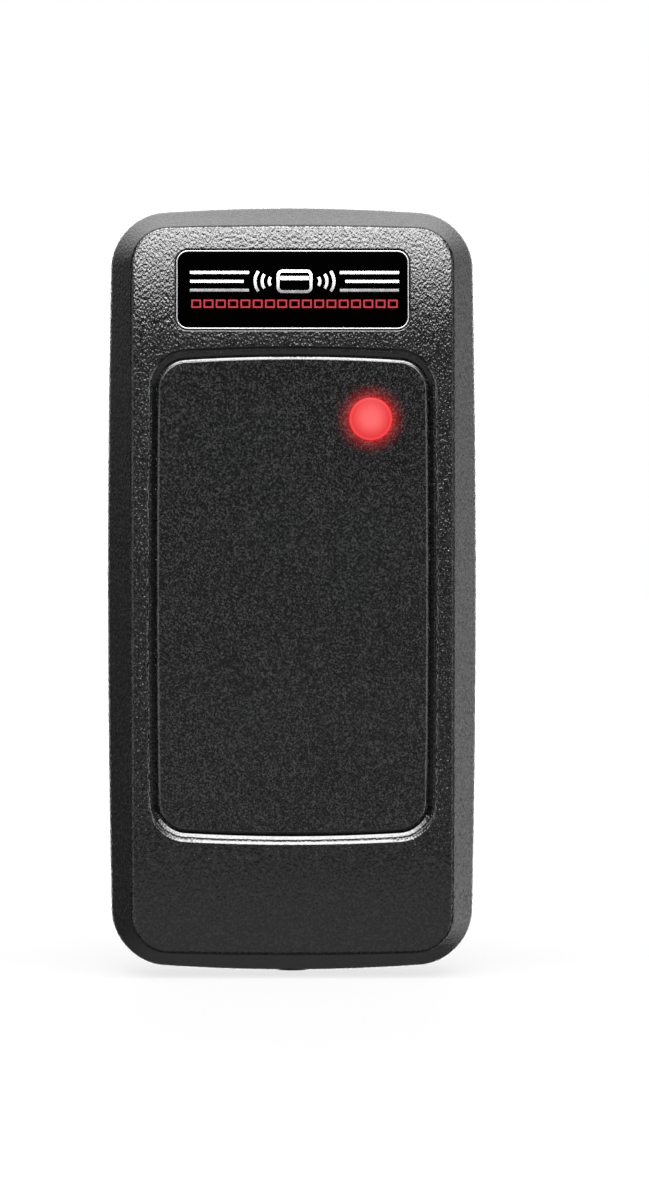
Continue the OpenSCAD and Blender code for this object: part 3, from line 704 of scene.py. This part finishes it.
def make_vias():
    """Plated holes, at the far ends of tracks and in the open parts of the board."""
    places = [(0.6, 22), (-8.4, 21.9), (-1, 22), (1.6, 9.4), (10.4, 15.4), (6, 16.2), (8.2, -18.6),
              (-3.4, -21.9), (5, -17.6), (1.2, 9.2), (-4.2, -6.4), (-9, 3.9), (9.6, -21.8),
              (-5.6, -22.1), (13, 7.2), (13, 10.8), (3.2, -21.9), (-13, 1.4), (-6.4, 5.6), (13, 13.8)]
    bm = bmesh.new()
    profile = [(0.16, 0), (0.16, 0.035), (0.32, 0.035), (0.34, 0)]
    for x, v in places:
        add_loft(bm, lathe_rings(x, v, [(r, BOARD_TOP + h) for r, h in profile], 20), "open", "open")
    return new_object("board_vias", bm)


def make_ink():
    """White outlines round the larger parts, with a dot by the first pin of each chip."""
    bm = bmesh.new()
    for node, gap in (("microcontroller", 0.0), ("reader_chip", 0.0), ("voltage_regulator", 0.35),
                      ("filter_capacitor_base", 0.4), ("header_housing", 0.4), ("clock_crystal", 0.4),
                      ("status_led", 0.45)):
        low, high = node_box(node)
        w, h = high[0] - low[0] + 2 * gap, high[1] - low[1] + 2 * gap
        x, v = middle_of(node)
        if gap:
            outline = [(x + p, v + q) for p, q in rounded(w, h, 0.3, 0, 0, 3, 1, 1)]
            add_stroke(bm, outline, INK_W, True, on_board)
        else:
            for end in (-1, 1):
                edge = v + end * (h / 2 + 0.3)
                add_stroke(bm, [(x - w / 2, edge), (x + w / 2, edge)], INK_W, False, on_board)
            dot = [(0.25, BOARD_TOP), (0.25, BOARD_TOP + PRINT_T)]
            add_loft(bm, lathe_rings(x - w / 2 - 0.9, v + h / 2 + 0.3, dot, 16))
    x, v = middle_of("buzzer_case")
    r = BUZZER_INK_R
    turns = [2 * math.pi * k / 64 for k in range(64)]
    add_stroke(bm, [(x + r * math.cos(a), v + r * math.sin(a)) for a in turns], INK_W, True, on_board)
    return new_object("board_ink", bm)


def make_label():
    rings = [[on_label(x, v, h) for x, v in rounded(LABEL_W + g, LABEL_H + g, 0.9, 0, 0, 6, 2, 2)]
             for g, h in ((0, -LABEL_T), (0, -0.02), (-0.04, 0))]
    return loft("back_label", rings)


def make_label_ink():
    """Blank fields: a thin frame, ruled lines, and an empty tick box."""
    bm = bmesh.new()
    frame_line = rounded(LABEL_W - 1.4, LABEL_H - 1.4, 0.5, 0, 0, 4, 1, 1)
    add_stroke(bm, frame_line, 0.12, True, on_label)
    for k, length in enumerate((17, 13, 17, 9)):
        v = LABEL_H / 2 - 3 - k * 2.4
        add_stroke(bm, [(-LABEL_W / 2 + 2, v), (-LABEL_W / 2 + 2 + length, v)], 0.1, False, on_label)
    box = [(LABEL_W / 2 - 4 + p, -LABEL_H / 2 + 3 + q) for p, q in rounded(2.6, 2.6, 0.3, 0, 0, 3, 1, 1)]
    add_stroke(bm, box, 0.12, True, on_label)
    return new_object("back_label_ink", bm)


# ---- materials ----

class Nodes:
    """Short ways to add shader nodes to one material, or to the world."""

    def __init__(self, owner, output="OutputMaterial", shader="BsdfPrincipled", place="Object"):
        self.material = owner
        owner.use_nodes = True
        self.tree = owner.node_tree
        self.tree.nodes.clear()
        self.shader = self.add(shader)
        self.add(output, {0: self.shader.outputs[0]})
        self.place = self.add("TexCoord").outputs[place]

    def add(self, kind, inputs=(), **settings):
        node = self.tree.nodes.new("ShaderNode" + kind)
        for key, value in settings.items():
            setattr(node, key, value)
        for key, value in dict(inputs).items():
            self.set(node, key, value)
        return node

    def set(self, node, key, value):
        socket = node.inputs[key]
        if isinstance(value, bpy.types.NodeSocket):
            self.tree.links.new(value, socket)
        else:
            socket.default_value = value

    def noise(self, size_mm, detail=3.0, roughness=0.5, place=None):
        """Soft noise whose features are about this many millimetres across."""
        node = self.add("TexNoise", {"Vector": place or self.place, "Scale": 1 / (size_mm * MM),
                                     "Detail": detail, "Roughness": roughness})
        return node.outputs["Fac"]

    def ramp(self, value, low, high, to_low=0.0, to_high=1.0):
        node = self.add("MapRange", {"Value": value, "From Min": low, "From Max": high,
                                     "To Min": to_low, "To Max": to_high})
        return node.outputs["Result"]

    def math(self, operation, a, b=0.0):
        node = self.add("Math", {0: a, 1: b}, operation=operation)
        return node.outputs[0]

    def blend(self, share, a, b):
        node = self.add("Mix", data_type="RGBA")
        for index, value in ((0, share), (6, a), (7, b)):
            if isinstance(value, bpy.types.NodeSocket):
                self.tree.links.new(value, node.inputs[index])
            else:
                node.inputs[index].default_value = value
        return node.outputs[2]

    def bump(self, height, height_um):
        """Relief that stands this many micrometres high where height goes from 0 to 1."""
        node = self.add("Bump", {"Height": height, "Distance": height_um * 1e-6, "Strength": 1.0})
        return node.outputs["Normal"]

    def finish(self, **values):
        for key, value in values.items():
            self.set(self.shader, key.replace("_", " "), value)
        return self.material


def rgb(*values):
    return (*values, 1.0)


# The grain of textured plastic: how much it is squeezed along x, y and z, how many times as high it is
# on the leaning sides and as bright its specks are painted there (painted sparkle), and how many times
# as bright the plastic is painted in a gap (painted shade) and as high its grain is there
GRAIN_SQUEEZE = (1.9, 0.65, 1)
SLOPE_GRAIN = 1.2
SLOPE_PAINTED_SPARKLE = 2.6
PAINTED_GAP_SHADE = 0.1
GAP_GRAIN = 0.35


def moat_painted_shade(n):
    """1 inside the moat round the panel, where the plastic gets painted shade and a smoother grain, and 0
    on the face.
    """
    split = n.add("SeparateXYZ", {"Vector": n.place})
    across = n.math("ABSOLUTE", split.outputs["X"])
    along = n.math("ABSOLUTE", n.math("SUBTRACT", split.outputs["Z"], PANEL_MID * MM))
    inside = n.ramp(split.outputs["Y"], -(BODY_D - 0.01) * MM, -(BODY_D - 0.05) * MM)
    for way, half in ((across, PANEL_W / 2), (along, PANEL_H / 2)):
        outer = half + MOAT_REACH
        inside = n.math("MULTIPLY", inside, n.ramp(way, (outer + 0.2) * MM, outer * MM))
    return inside


def textured_plastic(name, shade, grain_mm, grain_um, roughness, sparkle, contrast=2.4, glow=None,
                     gap=None):
    """Moulded plastic with a spark-eroded texture, faintly cloudy.

    glow is a function that lights the plastic. gap is one that is 1 where the plastic is in a gap, and
    there its colour is darkened as painted shade and it is smooth. On the leaning sides its specks are
    painted brighter, as painted sparkle. Light from above catches only the grain's upward slopes, so the
    grain is drawn narrow in x, and its bright marks come out round.
    """
    n = Nodes(bpy.data.materials.new(name))
    squeezed = n.add("VectorMath", {0: n.place, 1: GRAIN_SQUEEZE}, operation="MULTIPLY").outputs[0]
    coarse = n.math("SUBTRACT", n.noise(grain_mm, 1.5, 0.5, squeezed), 0.5)
    facing = n.add("SeparateXYZ", {"Vector": n.add("TexCoord").outputs["Normal"]}).outputs["Y"]
    slope = n.ramp(facing, -0.8, -0.4)
    coarse = n.math("MULTIPLY", coarse, n.math("ADD", 1.0, n.math("MULTIPLY", slope, SLOPE_GRAIN - 1)))
    fine = n.noise(grain_mm * 0.8, 1.0)
    cloud = n.noise(9, 3.0, 0.5)
    tone = n.math("ADD", fine, n.math("MULTIPLY", n.math("SUBTRACT", cloud, 0.5), 0.06))
    # Specks on the leaning sides are painted brighter: painted sparkle of light caught at a grazing view.
    spark = contrast * SLOPE_PAINTED_SPARKLE
    bright = n.blend(slope, rgb(*(c * contrast for c in shade)), rgb(*(c * spark for c in shade)))
    colour = n.blend(n.ramp(tone, 0.46, 0.66), rgb(*(c / contrast for c in shade)), bright)
    if glow:
        glow(n)
    if gap:
        # Inside the moat the colour is darkened as painted shade in the gap, less so on the flat ledge.
        gap_painted_shade = n.math("MULTIPLY", gap(n), n.ramp(facing, -0.99, -0.96, 0.25, 1.0))
        colour = n.blend(gap_painted_shade, colour, rgb(*(c * PAINTED_GAP_SHADE for c in shade)))
        coarse = n.math("MULTIPLY", coarse, n.ramp(gap_painted_shade, 0, 1, 1.0, GAP_GRAIN))
    return n.finish(
        Base_Color=colour,
        Roughness=n.ramp(tone, 0.46, 0.7, roughness, roughness + sparkle),
        Normal=n.bump(coarse, grain_um),
    )


def plain_material(name, colour, roughness, metallic=0.0, grain_mm=0.3, grain_um=2.0, specular=0.5):
    n = Nodes(bpy.data.materials.new(name))
    patches = n.noise(grain_mm * 12, 3.0, 0.6)
    grain = n.noise(grain_mm, 2.0, 0.5)
    change = 0.04 if metallic else 0.13
    return n.finish(
        Base_Color=n.blend(n.ramp(patches, 0.3, 0.7), rgb(*(c * (1 - change) for c in colour)),
                           rgb(*(min(1, c * (1 + change)) for c in colour))),
        Roughness=n.ramp(patches, 0.3, 0.7, roughness - change / 3, roughness + change / 2),
        Metallic=metallic,
        Normal=n.bump(grain, grain_um),
        Specular_IOR_Level=specular,
    )


def distance_from_lens(n):
    """Millimetres across the face from the lens's axis."""
    split = n.add("SeparateXYZ", {"Vector": n.place})
    x = n.math("SUBTRACT", split.outputs["X"], LENS_X * MM)
    z = n.math("SUBTRACT", split.outputs["Z"], LENS_V * MM)
    squares = n.math("ADD", n.math("MULTIPLY", x, x), n.math("MULTIPLY", z, z))
    return n.math("MULTIPLY", n.math("SQRT", squares), 1 / MM)


def lens_glow(n):
    """The red that the lit lens casts on the panel close by."""
    near = n.ramp(distance_from_lens(n), LENS_R, LENS_R + 2, 1.0, 0.0)
    n.set(n.shader, "Emission Color", rgb(1.0, 0.02, 0.02))
    n.set(n.shader, "Emission Strength", n.math("MULTIPLY", n.math("POWER", near, 2.6), 0.36))


def print_material(name, low, high):
    """Ink that is brighter towards the top of its line."""
    n = Nodes(bpy.data.materials.new(name))
    v = n.add("SeparateXYZ", {"Vector": n.place}).outputs["Z"]
    middle = BADGE_MID + SILVER_V
    share = n.ramp(v, (middle - 1.1) * MM, (middle + 1.1) * MM)
    share = n.math("ADD", share, n.ramp(n.noise(0.4), 0.3, 0.7, -0.06, 0.06))
    return n.finish(
        Base_Color=n.blend(share, rgb(*low), rgb(*high)),
        Roughness=n.ramp(n.noise(0.5), 0.3, 0.7, 0.4, 0.5),
        Normal=n.bump(n.noise(0.2), 0.5),
        Specular_IOR_Level=0.05,
    )


def lens_material():
    n = Nodes(bpy.data.materials.new("lens_red"))
    reach = distance_from_lens(n)
    rim = n.ramp(reach, LENS_R * 0.3, LENS_R * 0.92)
    colour = n.blend(rim, rgb(0.95, 0.145, 0.145), rgb(0.66, 0.034, 0.038))
    from_ring = n.math("ABSOLUTE", n.math("SUBTRACT", reach, LENS_R * 0.95))
    colour = n.blend(n.ramp(from_ring, 0.06, 0.16, 1.0, 0.0), colour, rgb(0.95, 0.055, 0.06))
    return n.finish(
        Base_Color=rgb(0.03, 0.001, 0.001),
        Roughness=0.35,
        Emission_Color=colour,
        Emission_Strength=n.ramp(n.noise(1.5), 0.3, 0.7, 0.97, 1.03),
        Specular_IOR_Level=0.05,
    )


def use(piece, material):
    piece.data.materials.clear()
    piece.data.materials.append(material)


def dress(piece, material, body, slot, *nodes):
    use(piece, material)
    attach(piece, body)
    if nodes:
        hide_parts(*nodes)


# ---- the object ----

# The cover plastic gets painted shade in the moat round the panel.
cover_plastic = textured_plastic("cover_plastic", (0.0027, 0.0027, 0.0028), 0.34, 88, 0.08, 0.12, 1.8,
                                 gap=moat_painted_shade)
panel_plastic = textured_plastic("panel_plastic", (0.0034, 0.0034, 0.0035), 0.19, 24, 0.1, 0.14, 3,
                                 lens_glow)
dress(make_cover(), cover_plastic, "cover", "cover_plastic", "front_cover")
dress(make_panel(), panel_plastic, "cover", "panel_plastic", "front_panel")
badge_material = plain_material("badge_gloss", (0.0001, 0.0001, 0.0001), 0.07, grain_um=0.1, specular=0.002)
dress(make_badge(), badge_material, "cover", "badge_gloss", "badge_plate")
dress(make_trim(), plain_material("trim_silver", (0.2, 0.2, 0.205), 0.32, 1.0, grain_um=0.3), "cover",
      "badge_gloss")
dress(make_silver_print(), print_material("print_silver", (0.08, 0.08, 0.082), (0.6, 0.6, 0.6)),
      "cover", "badge_gloss")
dress(make_red_print(), print_material("print_red", (0.16, 0.007, 0.011), (0.2, 0.008, 0.013)),
      "cover", "badge_gloss")
dress(make_lens(), lens_material(), "cover", "lens_red", "indicator_lens")

# ---- the model's own nodes ----

def wound_wire(n):
    """Height of the coil's turns: ridges that run round the coil at even distances."""
    split = n.add("SeparateXYZ", {"Vector": n.place})
    reach = []
    for axis, half in (("X", COIL_HALF[0]), ("Z", COIL_HALF[1])):
        inner = (half - COIL_CORNER_R) * MM
        reach.append(n.math("SUBTRACT", n.math("ABSOLUTE", split.outputs[axis]), inner))
    outside = [n.math("MAXIMUM", r, 0.0) for r in reach]
    squares = n.math("ADD", *(n.math("MULTIPLY", r, r) for r in outside))
    inside = n.math("MINIMUM", n.math("MAXIMUM", *reach), 0.0)
    distance = n.math("ADD", n.math("SQRT", squares), inside)
    turns = n.math("ADD", n.math("MULTIPLY", distance, 1 / (WIRE_PITCH * MM)),
                   n.math("MULTIPLY", split.outputs["Y"], 1 / (WIRE_PITCH * MM)))
    return n.math("ABSOLUTE", n.math("SINE", n.math("MULTIPLY", turns, math.pi)))


def coil_material():
    n = Nodes(bpy.data.materials.new("copper_wire"))
    turn_height_and_shade = wound_wire(n)
    return n.finish(
        # The base colour is darker between the turns: painted shade in the creases between them.
        Base_Color=n.blend(turn_height_and_shade, rgb(0.05, 0.012, 0.004), rgb(0.42, 0.15, 0.06)),
        Roughness=n.ramp(n.noise(1.5), 0.3, 0.7, 0.28, 0.4),
        Metallic=0.8,
        Normal=n.bump(turn_height_and_shade, 60),
    )


def capacitor_material():
    """Bare aluminium, with the dark sector that marks its negative side."""
    n = Nodes(bpy.data.materials.new("capacitor_can"))
    x = n.add("SeparateXYZ", {"Vector": n.place}).outputs["X"]
    marked = n.math("LESS_THAN", x, (CAPACITOR[0][0] + 1.5) * MM)
    rings = n.noise(0.25, 2.0)
    return n.finish(
        Base_Color=n.blend(marked, rgb(0.62, 0.62, 0.64), rgb(0.012, 0.012, 0.014)),
        Roughness=n.ramp(rings, 0.3, 0.7, 0.24, 0.36),
        Metallic=n.math("SUBTRACT", 1.0, marked),
        Normal=n.bump(rings, 2),
    )


def lit_material(name, colour, glow, strength):
    n = Nodes(bpy.data.materials.new(name))
    return n.finish(
        Base_Color=rgb(*colour),
        Roughness=n.ramp(n.noise(0.4), 0.3, 0.7, 0.15, 0.25),
        Emission_Color=rgb(*glow),
        Emission_Strength=n.ramp(n.noise(0.8), 0.3, 0.7, strength * 0.9, strength * 1.1),
        Normal=n.bump(n.noise(0.3), 1),
    )


def clear_material():
    n = Nodes(bpy.data.materials.new("window_clear"))
    return n.finish(Base_Color=n.blend(n.noise(2), rgb(0.7, 0.76, 0.8), rgb(0.82, 0.87, 0.9)),
                    Roughness=n.ramp(n.noise(0.6), 0.3, 0.7, 0.04, 0.1), Transmission_Weight=0.85,
                    Normal=n.bump(n.noise(0.8), 1))


COIL_HALF = (node_box("antenna_coil")[1][0], node_box("antenna_coil")[1][1])
COIL_CORNER_R = 4
WIRE_PITCH = 0.2
CAPACITOR = node_box("filter_capacitor")
# For each slot of the model: colour, roughness, metallic, grain in mm and height of grain in um
PLAIN_FINISHES = {
    "resin": ((0.006, 0.006, 0.007), 0.18, 0, 2.5, 8),
    "board": ((0.008, 0.075, 0.026), 0.3, 0, 0.8, 2),
    "chip_black": ((0.011, 0.011, 0.012), 0.42, 0, 0.18, 4),
    "tinned": ((0.55, 0.55, 0.56), 0.3, 1, 0.3, 2),
    "solder": ((0.5, 0.5, 0.52), 0.22, 1, 0.35, 6),
    "crystal_can": ((0.55, 0.54, 0.52), 0.3, 1, 0.25, 0.5),
    "ceramic_tan": ((0.2, 0.13, 0.07), 0.45, 0, 0.25, 3),
    "disc_brass": ((0.6, 0.42, 0.15), 0.3, 1, 0.3, 2),
    "header_cream": ((0.34, 0.32, 0.26), 0.42, 0, 0.4, 3),
    "pin_gold": ((0.7, 0.5, 0.2), 0.25, 1, 0.3, 1),
    "led_white": ((0.4, 0.4, 0.38), 0.35, 0, 0.4, 2),
    "screw_steel": ((0.42, 0.42, 0.44), 0.3, 1, 0.3, 3),
    "screw_black": ((0.02, 0.02, 0.021), 0.33, 0.6, 0.25, 3),
}


def paint_nodes():
    """Gives every node that the model keeps a finish, and breaks its sharp edges a little."""
    made = {slot: plain_material(slot, *finish) for slot, finish in PLAIN_FINISHES.items()}
    made["tray_plastic"] = textured_plastic("tray_plastic", (0.006, 0.006, 0.0062), 0.5, 40, 0.3, 0.15, 1.4)
    made["copper_wire"] = coil_material()
    made["capacitor_can"] = capacitor_material()
    made["emitter_red"] = lit_material("emitter_red", (0.3, 0.02, 0.02), (1.0, 0.12, 0.1), 1.5)
    made["window_clear"] = clear_material()
    for name, node in frame["nodes"].items():
        if node.get("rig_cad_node") != name or node.hide_render:
            continue
        for held in node.material_slots:
            held.material = made[held.material.name]
        low, high = node_box(name)
        bevel = node.modifiers.new("bevel", "BEVEL")
        bevel.width = min(0.12, 0.06 * min(b - a for a, b in zip(low, high))) * MM
        bevel.segments = 2
        bevel.limit_method = "ANGLE"
        bevel.angle_limit = math.radians(40)
        bevel.harden_normals = True


paint_nodes()

dress(make_tracks(), plain_material("board_track", (0.02, 0.17, 0.06), 0.28, grain_um=1), "base", "board")
dress(make_vias(), plain_material("board_via", (0.5, 0.42, 0.25), 0.3, 1.0, grain_um=1), "base", "solder")
dress(make_ink(), plain_material("board_ink", (0.36, 0.37, 0.36), 0.5, grain_um=1), "base", "board")
dress(make_label(), plain_material("label_foil", (0.3, 0.3, 0.31), 0.38, 0.3, grain_um=1), "base",
      "tray_plastic")
dress(make_label_ink(), plain_material("label_ink", (0.015, 0.015, 0.016), 0.45, grain_um=1), "base",
      "tray_plastic")

# ---- stage, light and camera ----

FLOOR_Z = -BODY_H / 2 * MM - 0.0002
# x, v and d of where the camera stands and of what it looks at
CAMERA_AT = (-5, 10, 545.7)
CAMERA_AIM = (3.51, -1.3, 4.5)
AMBIENT = 0.04
# Angle where a rise or fall starts, where it ends, and what it adds
MAIN_BOX = [(13, 20, 9.5), (20, 27, 4), (27, 35, 12), (40, 52, -24), (58, 66, 24), (80, 90, -24.2),
            (150, 175, -1.25)]
# Direction that a box lies in and where it fades in, what else fades it, and its strength. A
# direction is a unit vector's x, y or z, or the size of its x, which is called aside.
SIDE_BOXES = [
    ("x", 0.35, 0.5, [("y", 0.3, 0.5), ("z", 0.35, -0.2)], 0.85),
    ("x", -0.7, -0.8, [("y", -0.34, -0.38), ("y", -0.5, -0.46)], 4),
    ("x", 0.7, 0.8, [("y", -0.34, -0.38), ("y", -0.5, -0.46)], 5),
    ("aside", 0.98, 0.993, [], 0.9),
    ("y", -0.35, -0.6, [("z", 0.03, -0.05)], 0.2),
    ("y", -0.35, -0.6, [("z", -0.07, -0.14)], 0.35),
    ("z", -0.3, -0.5, [], 0.07),
    ("z", -0.75, -0.9, [("y", -0.55, -0.45), ("y", -0.24, -0.32)], 0.12),
    ("y", 0.96, 0.99, [], 4.0),
]


def make_floor():
    half = 2.0
    bm = bmesh.new()
    corners = [bm.verts.new((x, y, FLOOR_Z)) for x, y in
               ((-half, -half), (half, -half), (half, half), (-half, half))]
    bm.faces.new(corners)
    floor = new_object("floor", bm)
    n = Nodes(bpy.data.materials.new("floor_white"))
    reach = n.add("VectorMath", {0: n.place}, operation="LENGTH").outputs["Value"]
    use(floor, n.finish(Base_Color=rgb(0.04, 0.04, 0.04), Roughness=0.8, Specular_IOR_Level=0.1,
                        Emission_Color=rgb(1, 1, 1), Emission_Strength=n.ramp(reach, 0.08, 0.5, 0.76, 1.0)))
    floor.visible_glossy = False


def make_world():
    """White to the camera, and soft boxes of light in a dim room to everything else.

    The main box fills in from the front to overhead: its strength goes by the angle round the
    object from the front (0) over the top (90) to the back (180).
    """
    world = bpy.data.worlds.new("studio")
    bpy.context.scene.world = world
    n = Nodes(world, "OutputWorld", "Background", "Generated")
    split = n.add("SeparateXYZ", {"Vector": n.place})
    x, y, z = (split.outputs[k] for k in "XYZ")
    to_front = n.math("MULTIPLY", y, -1.0)
    angle = n.math("MULTIPLY", n.math("ARCTAN2", z, to_front), 180 / math.pi)
    directions = {"x": x, "y": y, "z": z, "aside": n.math("ABSOLUTE", x)}

    total = 0.0
    for low, high, strength in MAIN_BOX:
        total = n.math("ADD", total, n.ramp(angle, low, high, 0.0, strength))
    total = n.math("MULTIPLY", total, n.ramp(directions["aside"], 0.3, 0.7, 1.0, 0.0))
    for axis, low, high, others, strength in SIDE_BOXES:
        box = n.ramp(directions[axis], low, high, 0.0, strength)
        for other, a, b in others:
            box = n.math("MULTIPLY", box, n.ramp(directions[other], a, b))
        total = n.math("ADD", total, box)
    total = n.math("ADD", total, AMBIENT)
    seen = n.add("LightPath").outputs["Is Camera Ray"]
    n.set(n.shader, "Color", rgb(1, 1, 1))
    n.set(n.shader, "Strength", n.add("Mix", {0: seen, 2: total, 3: 1.0}).outputs[0])


def make_camera():
    data = bpy.data.cameras.new("camera")
    data.lens = 150
    data.sensor_width = 36
    data.clip_start = 0.01
    camera = bpy.data.objects.new("camera", data)
    bpy.context.collection.objects.link(camera)
    camera.location = place(*CAMERA_AT)
    aim = place(*CAMERA_AIM)
    camera.rotation_euler = (aim - camera.location).to_track_quat("-Z", "Y").to_euler()
    bpy.context.scene.camera = camera


make_floor()
make_world()
make_camera()
bpy.context.scene.view_settings.view_transform = "Standard"
